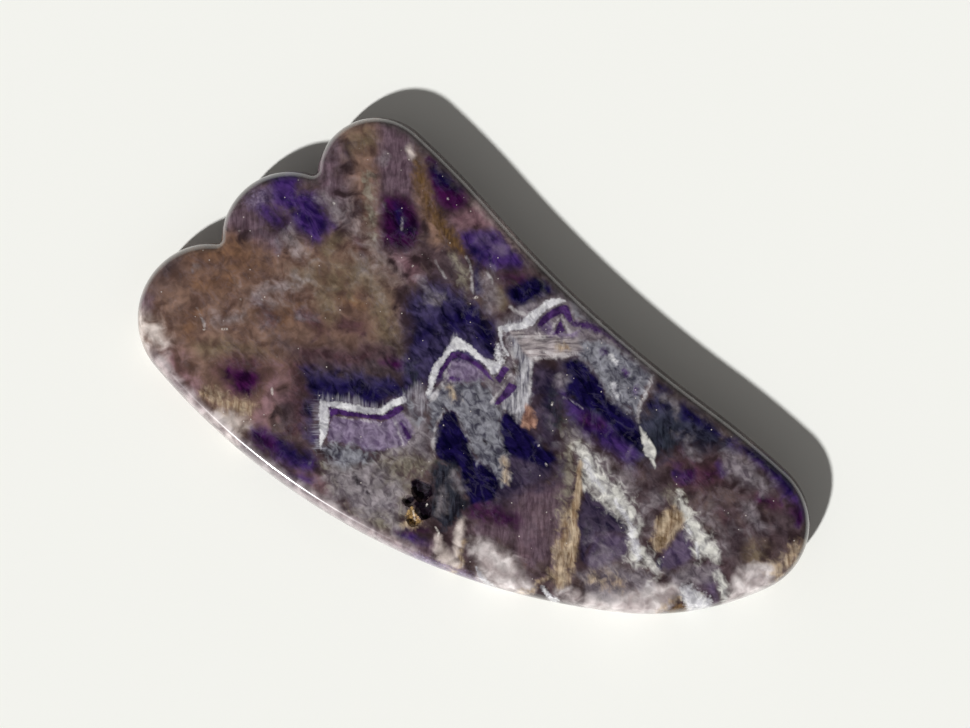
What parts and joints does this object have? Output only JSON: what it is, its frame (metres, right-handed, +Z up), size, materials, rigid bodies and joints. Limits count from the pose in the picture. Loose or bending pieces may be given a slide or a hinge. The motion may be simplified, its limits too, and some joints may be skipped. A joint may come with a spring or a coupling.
{
  "type": "gua sha scraper",
  "caption": "Flat hand-held massage board of banded amethyst quartz with a scalloped end, a curved belly, a shallow hollowed edge and a round tail, polished all over.",
  "frame": {"origin": "middle of the board's box on its underside", "axes": "+X along the board from the scalloped end to the tail, +Y across it from the belly to the hollowed edge, +Z up out of the upper face"},
  "size_m": [0.09, 0.0476, 0.0065],
  "materials": {
    "smoky_crown": "polished",
    "amethyst_layer": "polished",
    "white_chevron": "polished",
    "violet_band": "polished",
    "lilac_layer": "polished",
    "amethyst_root": "polished",
    "milky_veins": "polished",
    "iron_oxide": "polished"
  },
  "bodies": {
    "root": {"smoky_crown": "smoky_crown", "amethyst_layer": "amethyst_layer", "white_chevron": "white_chevron", "violet_band": "violet_band", "lilac_layer": "lilac_layer", "amethyst_root": "amethyst_root", "milky_veins": "milky_veins", "iron_oxide": "iron_oxide"}
  },
  "joints": []
}
